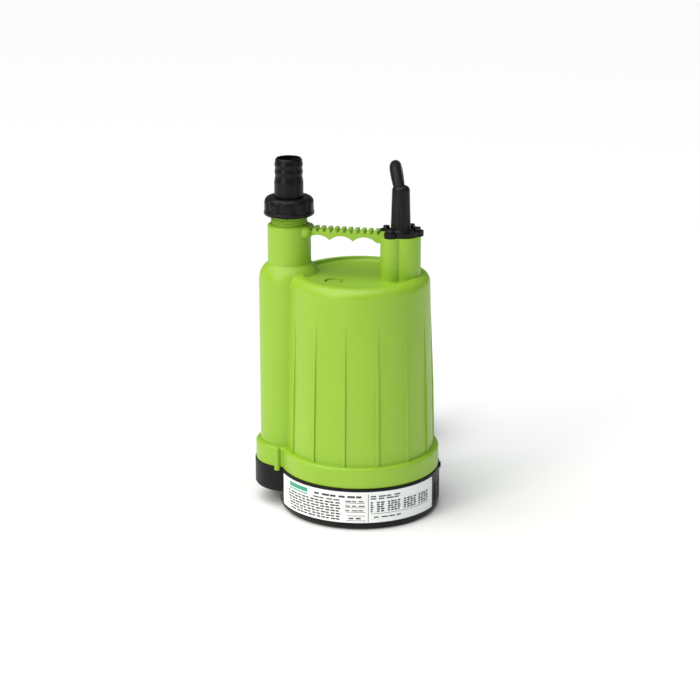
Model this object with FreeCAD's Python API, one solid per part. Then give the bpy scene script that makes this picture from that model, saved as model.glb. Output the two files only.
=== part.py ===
import FreeCAD, Part
import math
import os

from FreeCAD import Vector

# Submersible sump pump, about 100 W, with a G1 hose union.
# Millimetres, +Z up. The origin is on the motor axis, in the plane that the pump stands on.
# The discharge column is on the -X side, the cable tower on the +X side, the label faces -Y.

# ---------------------------------------------------------------- driving dimensions
# strainer base, the black part that the pump stands on
BASE_STEP = 1.1
BASE_H = 39.7
BASE_CATCH_ANGLE = 9.0
BASE_WALL = 3.0
BASE_FLOOR = 3.0
BASE_CHAMFER_R = 5.0
BASE_CHAMFER_H = 7.0
LOBE_BASE_R = 33.6
LOBE_DEPTH = 24.7
INTAKE_SLOT_W = 3.0
INTAKE_SLOT_MARGINS = (3.0, 10.7)
INTAKE_SLOT_STEP = 6.0
FLOOR_SLOT_W = 3.2
FLOOR_SLOTS = 16

# outer casing, the green moulding
FLANGE_PROUD = 5.3
FLANGE_H = 19.1
FLANGE_ROUND = 2.2
TONGUE_R = 3.0
TONGUE_DROP = 2.6
TONGUE_ANGLE = -99.0
BODY_R_LOW = 68.0
BODY_TAPER = 4.0
BODY_TOP_Z = 222.4
SHOULDER_R = 8.5
RIM_W = 3.6
TOP_RECESS = 2.9
CASING_WALL = 3.0
RIBS = 14
RIB_W = 3.0
RIB_PROUD = 1.4
RIB_TOP_DROP = 26.4

# discharge column
COLUMN_OUT = 2.3
LOBE_R = 28.1
LOBE_SHOULDER_DROP = 9.4
LOBE_SHOULDER_R = 18.4
COLUMN_R = 19.8
COLUMN_RISE = 41.8
PIPE_R = 12.8
PIPE_WALL = 3.4
SPIGOT_R = 16.6
SPIGOT_H = 16.8
THREAD_PITCH = 2.309
THREAD_DEPTH = 1.3

# hose union
NUT_R = 22.95
NUT_GAP = 8.8
NUT_H = 16.6
NUT_LIP = 3.2
NUT_RIM_H = 3.0
NUT_SCALLOPS = 10
NUT_SCALLOP_R = 6.0
NUT_SCALLOP_DEPTH = 1.5
NUT_SCALLOP_START = 11.5
NUT_CLEAR = 0.35
GASKET_H = 2.0
TAIL_FLANGE_H = 3.0
TAIL_WALL = 3.2
TAIL_LAND_R = 13.2
TAIL_CLEAR = 0.35
TAIL_H = 41.7
TAIL_BARBS = 2
TAIL_BARB_DEPTH = 0.6
TAIL_BARB_PITCH = 6.9
TAIL_TIP_H = 5.7

# carrying handle between the column and the cable tower
HANDLE_W = 14.4
HANDLE_DROP = 2.0
HANDLE_H = 10.0
HANDLE_ARCH = 4.4
GRIP_WAVES = 3
TEETH = 10
TOOTH_GAP = 2.0
TOOTH_DEPTH = 2.8
KNUCKLE_R = 5.6

# cable tower and gland
TOWER_INSET = 22.8
TOWER_R = 14.6
TOWER_RISE = 36.4
TOWER_BOSS_OFFSET = (-10.5, -9.6)
TOWER_BOSS_R = 9.3
CABLE_OFFSET = -3.8
GLAND_T = 4.6
GLAND_R = 14.0
GLAND_EAR_R = 5.6
GLAND_EAR_OFFSETS = ((-17.2, 2.0), (-10.8, -12.2), (11.2, 2.0), (3.8, 12.4))
GROMMET_WALL = 4.3
GROMMET_H = 12.0
BOOT_WALLS = (3.7, 2.8)
BOOT_H = 40.9
BOOT_GROOVES = 6
BOOT_GROOVE_START = -83.0

# air test plug in the top face
PLUG_POS = (-18.8, -23.7)
PLUG_R = 6.6
PLUG_RECESS_R = 8.5
PLUG_RECESS = 3.0
PLUG_HEAD_H = 2.2

# hydraulic parts
VOLUTE_INSET = 3.0
VOLUTE_OFFSET = -6.5
VOLUTE_WALL = 3.0
CHAMBER_H = 18.0
COVER_T = 3.0
COVER_DROP = 27.7
EYE_R = 15.0
EYE_LIP = 2.5
THROAT_W = 24.0
RISER_FLOOR = 6.5
IMPELLER_MARGIN = 9.5
IMPELLER_VANES = 5
IMPELLER_GAP = 1.0
VANE_T = 2.2
SHROUD_T = 3.0

# shaft, motor and seals
SHAFT_R = 6.0
SHAFT_CORE_R = 8.0
DRIVE_R = 5.0
DRIVE_FLAT = 4.0
SHAFT_THREAD_R = 4.0
OIL_CASE_H = 22.0
OIL_CASE_INSET = 6.5
PLATE_T = 4.0
SHELL_INSET = 2.0
SHELL_WALL = 1.2
SHELL_HEADROOM = 24.5
BEARING_R = 16.0
BEARING_W = 10.0
BALL_R = 2.95
BALL_PITCH_R = 11.0
BALLS = 8
STATOR_GAPS = (35.0, 40.0)
AIR_GAP = 0.4
STATOR_DEPTH = 21.9
SLOTS = 24
SLOT_W = 3.4
STATOR_YOKE = 9.5
WINDING_H = 12.0
CAPACITOR_R = 10.0
CAPACITOR_L = 46.0

# fasteners
BASE_SCREW_INSET = 11.8
BASE_SCREW_ANGLES = (48.0, 128.0, 232.0, 312.0)
SCREW_R = 2.0
SCREW_HEAD_R = 3.7
SCREW_HEAD_H = 3.0
GLAND_SCREW_HEAD_R = 3.0
EAR_R = 5.5

# power cable: 3 x 1.5 mm2 rubber cable, its route down behind the pump and its coil
CABLE_R = 5.2
CABLE_START = (36.6, 0.0, 299.8)
CABLE_ROUTE = (
    (32.6, 4.0, 309.8),
    (28.8, 15.0, 317.8),
    (26.8, 29.0, 316.3),
    (26.4, 42.0, 303.8),
    (26.4, 52.0, 281.3),
    (27.0, 65.0, 246.0),
    (26.0, 77.0, 207.0),
    (27.2, 84.0, 164.0),
    (25.8, 88.5, 124.0),
    (26.4, 91.0, 88.0),
    (25.4, 95.0, 57.5),
    (24.4, 106.0, 34.0),
    (23.2, 123.5, 17.0),
    (22.0, 145.0, 8.3),
    (21.2, 166.5, 6.6),
)
COIL_X = -48.0
COIL_Y = 166.0
COIL_MEAN_R = 54.0
COIL_LAYERS = 3
COIL_COLUMNS = 4
TIE_T = 1.2
TIE_ANGLE = 128.0
TIE_SPREAD = 16.0
TAIL_ROUTE = (
    (-111.5, 163.0, 39.0),
    (-110.6, 138.5, 41.5),
    (-97.0, 113.0, 42.5),
    (-71.5, 98.8, 43.0),
    (-42.5, 98.0, 45.0),
    (-16.5, 112.0, 49.5),
    (-2.8, 137.0, 54.0),
    (-1.2, 160.0, 55.8),
)
PLUG_BODY = ((5.6, 0.0), (7.2, 24.0), (12.8, 30.0), (12.8, 58.0), (11.6, 60.0))
PIN_R = 2.4
PIN_L = 19.0
PIN_SPACING = 19.0

LABEL_T = 0.3
LABEL_MARGINS = (0.6, 2.5)
LABEL_ANGLES = (-147.6, -14.7)

# ---------------------------------------------------------------- levels worked out from them
BODY_R_TOP = BODY_R_LOW - BODY_TAPER
FLANGE_R = BODY_R_LOW + FLANGE_PROUD
BASE_R = FLANGE_R + BASE_STEP
FLANGE_TOP_Z = BASE_H + FLANGE_H
RIB_TOP_Z = BODY_TOP_Z - RIB_TOP_DROP
COLUMN_X = COLUMN_OUT - BODY_R_LOW
LOBE_SHOULDER_Z = BODY_TOP_Z - LOBE_SHOULDER_DROP
COLUMN_TOP_Z = BODY_TOP_Z + COLUMN_RISE
SPIGOT_TOP_Z = COLUMN_TOP_Z + SPIGOT_H
NUT_BOTTOM_Z = COLUMN_TOP_Z + NUT_GAP
NUT_Z = (NUT_BOTTOM_Z, NUT_BOTTOM_Z + NUT_H)
HANDLE_TOP_Z = COLUMN_TOP_Z - HANDLE_DROP
HANDLE_VALLEY_Z = HANDLE_TOP_Z - HANDLE_H
TOWER_TOP_Z = BODY_TOP_Z + TOWER_RISE
TOWER_X = BODY_R_TOP - TOWER_INSET
TOWER_BOSS = (TOWER_X + TOWER_BOSS_OFFSET[0], TOWER_BOSS_OFFSET[1])
CABLE_X = TOWER_X + CABLE_OFFSET
GLAND_EARS = [(TOWER_X + dx, y) for dx, y in GLAND_EAR_OFFSETS]
LOBE_UNDERSIDE_Z = BASE_H - LOBE_DEPTH
INTAKE_SLOT_Z = (BASE_CHAMFER_H + INTAKE_SLOT_MARGINS[0], BASE_H - INTAKE_SLOT_MARGINS[1])
LABEL_Z = (BASE_CHAMFER_H + LABEL_MARGINS[0], BASE_H - LABEL_MARGINS[1])
BASE_SCREW_PLACE_R = FLANGE_R - BASE_SCREW_INSET
COVER_Z = BASE_H - COVER_DROP
CHAMBER_Z = COVER_Z + COVER_T
CHAMBER_TOP_Z = CHAMBER_Z + CHAMBER_H
VOLUTE_TOP_Z = CHAMBER_TOP_Z + VOLUTE_WALL
OIL_TOP_Z = VOLUTE_TOP_Z + OIL_CASE_H
SHELF_Z = OIL_TOP_Z + PLATE_T
COLUMN_PIPE_R = PIPE_R + PIPE_WALL
HOUSING_R = -COLUMN_X - COLUMN_PIPE_R - 1.0
VOLUTE_R = HOUSING_R - VOLUTE_INSET
IMPELLER_R = VOLUTE_R - IMPELLER_MARGIN
OIL_CASE_R = HOUSING_R - OIL_CASE_INSET
SHELL_R = HOUSING_R - SHELL_INSET
SLOT_R = SHELL_R - STATOR_YOKE
ROTOR_R = SHELL_R - STATOR_DEPTH - AIR_GAP
TOP_FACE_Z = BODY_TOP_Z - TOP_RECESS
CEILING_Z = TOP_FACE_Z - CASING_WALL
SHELL_TOP_Z = CEILING_Z - SHELL_HEADROOM
LOWER_BEARING_Z = SHELF_Z + 5.0
UPPER_BEARING_Z = SHELL_TOP_Z - BEARING_W - 5.0
BRACKET_Z = SHELL_TOP_Z - PLATE_T
STATOR_Z = (SHELF_Z + STATOR_GAPS[0], SHELL_TOP_Z - STATOR_GAPS[1])
GLAND_TOP_Z = TOWER_TOP_Z + GLAND_T
GROMMET_R = CABLE_R + GROMMET_WALL
BOOT_R = (CABLE_R + BOOT_WALLS[0], CABLE_R + BOOT_WALLS[1])
BOOT_TOP_Z = GLAND_TOP_Z + BOOT_H
TAIL_FLANGE_Z = SPIGOT_TOP_Z + GASKET_H
TAIL_FLANGE_TOP_Z = TAIL_FLANGE_Z + TAIL_FLANGE_H
TAIL_TOP_Z = TAIL_FLANGE_Z + TAIL_H
NUT_BORE_R = SPIGOT_R + NUT_CLEAR
TAIL_BORE_R = TAIL_LAND_R - TAIL_WALL
COIL_BOTTOM_Z = TIE_T
COIL_WIDTH = 2 * CABLE_R * COIL_COLUMNS
COIL_FLAT_Z = COIL_BOTTOM_Z + 2 * CABLE_R * COIL_LAYERS
UP = Vector(0, 0, 1)


# ---------------------------------------------------------------- small builders
def cyl(r, z0, z1, x=0.0, y=0.0):
    """Upright cylinder from z0 to z1."""
    return Part.makeCylinder(r, z1 - z0, Vector(x, y, z0))


def ring(r_out, r_in, z0, z1, x=0.0, y=0.0):
    """Upright tube from z0 to z1."""
    return cyl(r_out, z0, z1, x, y).cut(cyl(r_in, z0, z1, x, y))


def block(x0, x1, y0, y1, z0, z1):
    """Box between two corners."""
    return Part.makeBox(x1 - x0, y1 - y0, z1 - z0, Vector(x0, y0, z0))


def turned(items, x=0.0, y=0.0):
    """Solid of revolution about the upright line through x, y.

    items is the closed half outline as (r, z) points; a pair of points in a tuple
    (through, end) makes an arc from the point before it.
    """
    return swept_face(items, x, y).revolve(Vector(x, y, 0), UP, 360)


def swept_face(items, x=0.0, y=0.0):
    """Face in the XZ plane from points and (through, end) arcs."""
    at = lambda p: Vector(x + p[0], y, p[1])
    start = at(items[0])
    last = start
    edges = []
    for item in items[1:]:
        if isinstance(item[0], tuple):
            end = at(item[1])
            edges.append(Part.Arc(last, at(item[0]), end).toShape())
        else:
            end = at(item)
            edges.append(Part.LineSegment(last, end).toShape())
        last = end
    if last.distanceToPoint(start) > 1e-6:
        edges.append(Part.LineSegment(last, start).toShape())
    return Part.Face(Part.Wire(edges))


def corner(cx, cz, r, a0, a1):
    """Arc item about (cx, cz) from angle a0 to a1, in degrees, for an outline."""
    mid = math.radians((a0 + a1) / 2)
    end = math.radians(a1)
    through = (cx + r * math.cos(mid), cz + r * math.sin(mid))
    return (through, (cx + r * math.cos(end), cz + r * math.sin(end)))


def polar(r, angle, x=0.0, y=0.0):
    """Point at a radius and an angle in degrees about x, y."""
    a = math.radians(angle)
    return (x + r * math.cos(a), y + r * math.sin(a))


def spin(shape, angle, x=0.0, y=0.0):
    """Copy of a shape turned about the upright line through x, y."""
    copy = shape.copy()
    copy.rotate(Vector(x, y, 0), UP, angle)
    return copy


def fuse(shapes):
    """One solid from overlapping ones."""
    first = shapes[0]
    if len(shapes) == 1:
        return first
    return first.fuse(shapes[1:]).removeSplitter()


def save(name, shape):
    """Write one sub-part."""
    shape.exportStep("parts/" + name + ".step")


def d_bar(r, flat, z0, z1):
    """Round bar with one flat side, for a drive end and its bore."""
    return cyl(r, z0, z1).common(block(-2 * r, flat, -2 * r, 2 * r, z0, z1))


def pan_screw(x, y, z_seat, length, head_down, head_r=SCREW_HEAD_R):
    """Pan-head screw whose head seats at z_seat."""
    sign = -1.0 if head_down else 1.0
    head_z = sorted((z_seat, z_seat + sign * SCREW_HEAD_H))
    shank_z = sorted((z_seat, z_seat - sign * length))
    head = cyl(head_r, head_z[0], head_z[1], x, y)
    recess_z = sorted((z_seat + sign * SCREW_HEAD_H, z_seat + sign * SCREW_HEAD_H * 0.45))
    cross = fuse([
        block(x - 2.0, x + 2.0, y - 0.45, y + 0.45, recess_z[0], recess_z[1]),
        block(x - 0.45, x + 0.45, y - 2.0, y + 2.0, recess_z[0], recess_z[1]),
    ])
    return head.cut(cross).fuse(cyl(SCREW_R, shank_z[0], shank_z[1], x, y))


# ---------------------------------------------------------------- strainer base
def base_screw_places():
    """Centres of the four long screws that hold base, volute and casing together."""
    return [polar(BASE_SCREW_PLACE_R, a) for a in BASE_SCREW_ANGLES]


def base_outer():
    """Outer form of the base: turned foot with a chamfered edge, and the riser lobe."""
    foot = turned([
        (0, 0),
        (BASE_R - BASE_CHAMFER_R, 0),
        ((BASE_R - 1.2, BASE_CHAMFER_H * 0.42), (BASE_R, BASE_CHAMFER_H)),
        (BASE_R, BASE_H),
        (0, BASE_H),
    ])
    lobe = turned([
        (0, LOBE_UNDERSIDE_Z),
        (LOBE_BASE_R - 3.0, LOBE_UNDERSIDE_Z),
        ((LOBE_BASE_R - 0.9, LOBE_UNDERSIDE_Z + 0.9), (LOBE_BASE_R, LOBE_UNDERSIDE_Z + 3.0)),
        (LOBE_BASE_R, BASE_H),
        (0, BASE_H),
    ], COLUMN_X)
    return foot.fuse(lobe)


def base_cavity():
    """Hollow of the base, one wall inside its outer form."""
    main = cyl(BASE_R - BASE_WALL, BASE_FLOOR, BASE_H)
    main = main.cut(turned([
        (BASE_R - BASE_WALL - BASE_CHAMFER_R, 0),
        (BASE_R, 0),
        (BASE_R, BASE_CHAMFER_H),
        (BASE_R - BASE_WALL, BASE_CHAMFER_H),
        (BASE_R - BASE_WALL - BASE_CHAMFER_R, BASE_FLOOR),
    ]))
    lobe = cyl(LOBE_BASE_R - BASE_WALL, LOBE_UNDERSIDE_Z + BASE_WALL, BASE_H, COLUMN_X)
    return main.fuse(lobe)


def base_catch():
    """Small catch that stands out at the top edge of the base."""
    catch = block(BASE_R - 1.0, BASE_R + 1.2, -3.0, 3.0, BASE_H - 4.0, BASE_H)
    return spin(catch, BASE_CATCH_ANGLE)


def intake_slots():
    """Upright intake slots in the side wall, all round but the label and the lobe."""
    slot = block(BASE_R - 9.0, BASE_R + 2.0, -INTAKE_SLOT_W / 2, INTAKE_SLOT_W / 2,
                 INTAKE_SLOT_Z[0], INTAKE_SLOT_Z[1])
    first = LABEL_ANGLES[1] + INTAKE_SLOT_STEP
    count = int((142.0 - first) / INTAKE_SLOT_STEP) + 1
    return [spin(slot, first + i * INTAKE_SLOT_STEP) for i in range(count)]


def floor_slots():
    """Radial intake slots in the floor."""
    slot = block(BASE_R * 0.42, BASE_R * 0.70, -FLOOR_SLOT_W / 2, FLOOR_SLOT_W / 2,
                 -1.0, BASE_FLOOR + 1.0)
    return [spin(slot, (i + 0.5) * 360.0 / FLOOR_SLOTS) for i in range(FLOOR_SLOTS)]


def strainer_base():
    """Base with its cavity, screw posts, the fins under the suction cover and the slots."""
    shell = base_outer().cut(base_cavity())
    posts = [cyl(EAR_R + 0.8, 0.5, BASE_H, x, y) for x, y in base_screw_places()]
    fin = block(EYE_R + 10.0, VOLUTE_R, -1.1, 1.1, BASE_FLOOR - 0.5, COVER_Z)
    fins = [spin(fin, i * 45.0 + 30.0) for i in range(8)]
    body = fuse([shell, base_catch()] + posts + fins)
    tools = intake_slots() + floor_slots()
    tools.append(casing_tongue())
    for x, y in base_screw_places():
        tools.append(cyl(SCREW_HEAD_R + 0.4, -1.0, BASE_H / 2, x, y))
        tools.append(cyl(SCREW_R, 0.0, BASE_H + 1.0, x, y))
    return body.cut(tools)


def base_screws():
    """Long screws from below, through the base posts into the casing flange."""
    length = BASE_H / 2 + FLANGE_H * 0.7
    return Part.makeCompound([pan_screw(x, y, BASE_H / 2, length, True)
                              for x, y in base_screw_places()])


def rating_label():
    """Foil label wrapped round the front of the base."""
    start, end = LABEL_ANGLES
    outline = swept_face([
        (BASE_R, LABEL_Z[0]),
        (BASE_R + LABEL_T, LABEL_Z[0]),
        (BASE_R + LABEL_T, LABEL_Z[1]),
        (BASE_R, LABEL_Z[1]),
    ])
    outline.rotate(Vector(0, 0, 0), UP, start)
    return outline.revolve(Vector(0, 0, 0), UP, end - start)


# ---------------------------------------------------------------- hydraulic parts
def cover_screw_places():
    """Centres of the three suction cover screws."""
    return [polar(VOLUTE_R + VOLUTE_WALL + 2.0, a, VOLUTE_OFFSET) for a in (84.0, 212.0, 332.0)]


def volute_outline(r, z0, z1):
    """Round volute form, set off towards the riser, with its screw ears."""
    ears = [cyl(EAR_R, z0, z1, x, y) for x, y in cover_screw_places()]
    return fuse([cyl(r, z0, z1, VOLUTE_OFFSET)] + ears)


def suction_cover():
    """Plate under the impeller with the suction eye."""
    plate = volute_outline(VOLUTE_R + VOLUTE_WALL, COVER_Z, CHAMBER_Z)
    lip = cyl(EYE_R + 2.2, COVER_Z - EYE_LIP, COVER_Z)
    holes = [cyl(SCREW_R, COVER_Z, CHAMBER_Z, x, y) for x, y in cover_screw_places()]
    eye = cyl(EYE_R, COVER_Z - EYE_LIP, CHAMBER_Z)
    return plate.fuse(lip).cut([eye] + holes)


def cover_screws():
    """Screws that hold the suction cover to the volute."""
    length = COVER_T + CHAMBER_H * 0.7
    return Part.makeCompound([pan_screw(x, y, COVER_Z, length, True)
                              for x, y in cover_screw_places()])


def volute_casing():
    """Chamber round the impeller, with the throat and the riser to the discharge column."""
    riser_z = LOBE_UNDERSIDE_Z + BASE_WALL + 0.5
    floor_z = CHAMBER_Z + RISER_FLOOR
    body = volute_outline(VOLUTE_R + VOLUTE_WALL, CHAMBER_Z, VOLUTE_TOP_Z)
    throat = block(COLUMN_X, VOLUTE_OFFSET - VOLUTE_R, -THROAT_W / 2 - VOLUTE_WALL,
                   THROAT_W / 2 + VOLUTE_WALL, riser_z, VOLUTE_TOP_Z)
    riser = cyl(COLUMN_PIPE_R, riser_z, BASE_H, COLUMN_X)
    body = fuse([body, throat, riser])
    holes = [cyl(SCREW_R, CHAMBER_Z, CHAMBER_Z + CHAMBER_H * 0.7, x, y)
             for x, y in cover_screw_places()]
    chamber = cyl(VOLUTE_R, CHAMBER_Z, CHAMBER_TOP_Z, VOLUTE_OFFSET)
    passage = block(COLUMN_X, VOLUTE_OFFSET - VOLUTE_R * 0.8, -THROAT_W / 2, THROAT_W / 2,
                    floor_z, CHAMBER_TOP_Z)
    bore = cyl(PIPE_R, floor_z, BASE_H, COLUMN_X)
    shaft_hole = cyl(SHAFT_R + 3.0, CHAMBER_TOP_Z, VOLUTE_TOP_Z)
    return body.cut([chamber, passage, bore, shaft_hole] + holes)


def impeller():
    """Semi-open impeller, vanes downward, with a D-shaped bore."""
    low = CHAMBER_Z + IMPELLER_GAP
    shroud_z = CHAMBER_TOP_Z - SHROUD_T - 2.0
    hub = cyl(SHAFT_R + 3.5, low + 1.5, CHAMBER_TOP_Z - 0.6)
    shroud = cyl(IMPELLER_R, shroud_z, shroud_z + SHROUD_T)
    arc_r = IMPELLER_R * 0.62
    vane = ring(arc_r + VANE_T / 2, arc_r - VANE_T / 2, low, shroud_z + 0.5, IMPELLER_R * 0.48)
    vane = vane.common(cyl(IMPELLER_R, low, shroud_z + 0.5))
    vane = vane.common(block(0, 2 * IMPELLER_R, 0, 2 * IMPELLER_R, low, shroud_z + 0.5))
    vanes = [spin(vane, i * 360.0 / IMPELLER_VANES) for i in range(IMPELLER_VANES)]
    body = fuse([hub, shroud] + vanes)
    inlet = cyl(SHAFT_R + 3.5, low - 1.0, low + 1.5)
    bore = d_bar(DRIVE_R, DRIVE_FLAT, low - 1.0, CHAMBER_TOP_Z)
    return body.cut([inlet, bore])


def impeller_nut():
    """Domed hexagon nut on the shaft end."""
    top = CHAMBER_Z + IMPELLER_GAP + 1.5
    low = top - 6.5
    hexagon = Part.Face(Part.makePolygon([Vector(*polar(7.5, i * 60.0), low) for i in range(7)]))
    body = hexagon.extrude(Vector(0, 0, 6.5)).fuse(cyl(5.4, low - 3.0, low))
    return body.cut(cyl(SHAFT_THREAD_R, low - 1.0, top))


# ---------------------------------------------------------------- shaft, seals and bearings
def shaft():
    """Stepped steel shaft from the impeller nut to the upper bearing."""
    nut_top = CHAMBER_Z + IMPELLER_GAP + 1.5
    pieces = [
        cyl(SHAFT_THREAD_R, nut_top - 6.0, nut_top),
        d_bar(DRIVE_R, DRIVE_FLAT, nut_top, CHAMBER_TOP_Z - 0.6),
        cyl(SHAFT_R, CHAMBER_TOP_Z - 0.6, LOWER_BEARING_Z + BEARING_W),
        cyl(SHAFT_CORE_R, LOWER_BEARING_Z + BEARING_W, UPPER_BEARING_Z),
        cyl(SHAFT_R, UPPER_BEARING_Z, UPPER_BEARING_Z + BEARING_W + 1.0),
    ]
    return fuse(pieces)


def oil_casing():
    """Cup above the volute that holds the oil and the seal seat."""
    cup = cyl(OIL_CASE_R, VOLUTE_TOP_Z, OIL_TOP_Z)
    hollow = cyl(OIL_CASE_R - CASING_WALL, VOLUTE_TOP_Z + PLATE_T, OIL_TOP_Z)
    seat_bore = cyl(SHAFT_R * 2.0, VOLUTE_TOP_Z, VOLUTE_TOP_Z + PLATE_T)
    return cup.cut([hollow, seat_bore])


def seal_seat():
    """Stationary ceramic ring of the shaft seal."""
    return ring(SHAFT_R * 2.0, SHAFT_R + 0.6, VOLUTE_TOP_Z, VOLUTE_TOP_Z + PLATE_T)


def seal_ring():
    """Carbon ring that turns on the seat."""
    z = VOLUTE_TOP_Z + PLATE_T
    return ring(SHAFT_R * 1.75, SHAFT_R, z, z + 3.5)


def seal_spring():
    """Spring that presses the carbon ring down."""
    z = VOLUTE_TOP_Z + PLATE_T + 3.5
    wire_r = 0.7
    mean_r = SHAFT_R + 2.2
    height = OIL_CASE_H - PLATE_T - 3.5 - 4.0
    pitch = (height - 2 * wire_r) / 4.0
    helix = Part.makeHelix(pitch, height - 2 * wire_r, mean_r)
    circle = Part.Wire(Part.makeCircle(wire_r, Vector(mean_r, 0, 0), Vector(0, 1, 0)))
    spring = Part.Wire(helix).makePipeShell([circle], True, True)
    spring.translate(Vector(0, 0, z + wire_r))
    return spring


def seal_collar():
    """Collar fixed on the shaft, which the spring pushes against."""
    z = OIL_TOP_Z - 4.0
    return ring(SHAFT_R * 1.75, SHAFT_R, z, z + 3.0)


def oil_seal():
    """Lip seal in the bearing housing."""
    return ring(SHAFT_R + 5.0, SHAFT_R + 0.05, OIL_TOP_Z + 0.5, LOWER_BEARING_Z - 1.5)


def bearing_housing():
    """Plate between oil and motor, with the seal bore and the lower bearing pocket."""
    z = OIL_TOP_Z
    top = LOWER_BEARING_Z + BEARING_W
    spigot_r = SHELL_R - SHELL_WALL
    body = turned([
        (0, z),
        (HOUSING_R, z),
        (HOUSING_R, SHELF_Z),
        (spigot_r, SHELF_Z),
        (spigot_r, SHELF_Z + 6.0),
        (spigot_r - 3.0, SHELF_Z + 6.0),
        (spigot_r - 3.0, SHELF_Z),
        (BEARING_R + 4.0, SHELF_Z),
        (BEARING_R + 4.0, top),
        (0, top),
    ])
    o_ring_groove = ring(HOUSING_R + 1.0, HOUSING_R - 2.6, z + 0.5, z + 3.5)
    pocket = cyl(BEARING_R, LOWER_BEARING_Z, top)
    seal_bore = cyl(SHAFT_R + 5.0, z + 0.5, LOWER_BEARING_Z)
    shaft_hole = cyl(SHAFT_R + 1.0, z, LOWER_BEARING_Z)
    return body.cut([o_ring_groove, pocket, seal_bore, shaft_hole])


def casing_o_ring():
    """Rubber ring between the bearing housing and the casing bore."""
    section = 1.4
    return Part.makeTorus(HOUSING_R + 0.25 - section, section, Vector(0, 0, OIL_TOP_Z + 2.0))


def bearing_race(z, outer):
    """One race of a ball bearing with its groove."""
    if outer:
        body = ring(BEARING_R, BALL_PITCH_R + 1.8, z, z + BEARING_W)
    else:
        body = ring(BALL_PITCH_R - 1.8, SHAFT_R, z, z + BEARING_W)
    groove = Part.makeTorus(BALL_PITCH_R, BALL_R + 0.07, Vector(0, 0, z + BEARING_W / 2))
    return body.cut(groove)


def ball_cage(z):
    """Cage of a bearing with its balls, which turn together round the shaft."""
    mid = z + BEARING_W / 2
    angles = [i * 360.0 / BALLS for i in range(BALLS)]
    balls = [Part.makeSphere(BALL_R, Vector(*polar(BALL_PITCH_R, a), mid)) for a in angles]
    cage = ring(BALL_PITCH_R + 0.8, BALL_PITCH_R - 0.8, mid - 3.9, mid + 3.9)
    pocket = Part.makeCylinder(BALL_R + 0.05, 6.0, Vector(BALL_PITCH_R - 3.0, 0, mid), Vector(1, 0, 0))
    cage = cage.cut([spin(pocket, a) for a in angles])
    return Part.makeCompound([cage] + balls)


# ---------------------------------------------------------------- motor
def motor_shell():
    """Steel tube that holds the stator."""
    return ring(SHELL_R, SHELL_R - SHELL_WALL, SHELF_Z, SHELL_TOP_Z)


def stator_core():
    """Laminated stack with its winding slots."""
    z0, z1 = STATOR_Z
    bore = ROTOR_R + AIR_GAP
    core = ring(SHELL_R - SHELL_WALL, bore, z0, z1)
    slot = block(bore - 2.0, SLOT_R, -SLOT_W / 2, SLOT_W / 2, z0, z1)
    return core.cut([spin(slot, i * 360.0 / SLOTS) for i in range(SLOTS)])


def stator_windings():
    """Copper coil sides in the slots, joined by the end turns."""
    z0, z1 = STATOR_Z
    inner = ROTOR_R + AIR_GAP + 2.4
    side = block(inner, SLOT_R - 0.2, -SLOT_W / 2 + 0.2, SLOT_W / 2 - 0.2, z0 - 1.0, z1 + 1.0)
    sides = [spin(side, i * 360.0 / SLOTS) for i in range(SLOTS)]
    low = end_turns(z0 - WINDING_H, z0 - 0.4)
    high = end_turns(z1 + 0.4, z1 + WINDING_H)
    return fuse([low, high] + sides)


def end_turns(z0, z1):
    """Rounded ring of end turns."""
    inner = ROTOR_R + AIR_GAP + 2.4
    outer = SLOT_R + 3.0
    r = 3.0
    return turned([
        (inner + r, z0),
        (outer - r, z0),
        corner(outer - r, z0 + r, r, -90, 0),
        (outer, z1 - r),
        corner(outer - r, z1 - r, r, 0, 90),
        (inner + r, z1),
        corner(inner + r, z1 - r, r, 90, 180),
        (inner, z0 + r),
        corner(inner + r, z0 + r, r, 180, 270),
    ])


def rotor_core():
    """Laminated rotor pressed on the shaft."""
    return ring(ROTOR_R, SHAFT_CORE_R, STATOR_Z[0], STATOR_Z[1])


def rotor_end_rings():
    """Cast end rings of the squirrel cage."""
    z0, z1 = STATOR_Z
    rings = [ring(ROTOR_R - 1.0, SHAFT_CORE_R + 5.0, z0 - 4.0, z0),
             ring(ROTOR_R - 1.0, SHAFT_CORE_R + 5.0, z1, z1 + 4.0)]
    return Part.makeCompound(rings)


def upper_bracket():
    """Plate in the top of the motor shell with the upper bearing pocket."""
    plate = cyl(SHELL_R - SHELL_WALL, BRACKET_Z, SHELL_TOP_Z)
    hub = cyl(BEARING_R + 4.0, UPPER_BEARING_Z, BRACKET_Z)
    pocket = cyl(BEARING_R, UPPER_BEARING_Z, UPPER_BEARING_Z + BEARING_W)
    tip = cyl(SHAFT_R + 1.0, UPPER_BEARING_Z, UPPER_BEARING_Z + BEARING_W + 2.0)
    vents = [cyl(4.0, BRACKET_Z, SHELL_TOP_Z, *polar(SHELL_R - 13.5, a)) for a in (0, 90, 180, 270)]
    return plate.fuse(hub).cut([pocket, tip] + vents)


def run_capacitor():
    """Capacitor can lying on the upper bracket, in its saddle."""
    z = SHELL_TOP_Z + CAPACITOR_R + 1.5
    can = Part.makeCylinder(CAPACITOR_R, CAPACITOR_L, Vector(-CAPACITOR_L / 2, 18, z), Vector(1, 0, 0))
    saddle = block(-8, 8, 10, 26, SHELL_TOP_Z, z).cut(can)
    return can.fuse(saddle)


def thermal_protector():
    """Overload switch on the upper bracket."""
    base = block(-10, 10, -26, -12, SHELL_TOP_Z, SHELL_TOP_Z + 7.0)
    tabs = [block(x - 2, x + 2, -19.4, -18.6, SHELL_TOP_Z + 7.0, SHELL_TOP_Z + 13.0) for x in (-5, 5)]
    return fuse([base] + tabs)


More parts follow.
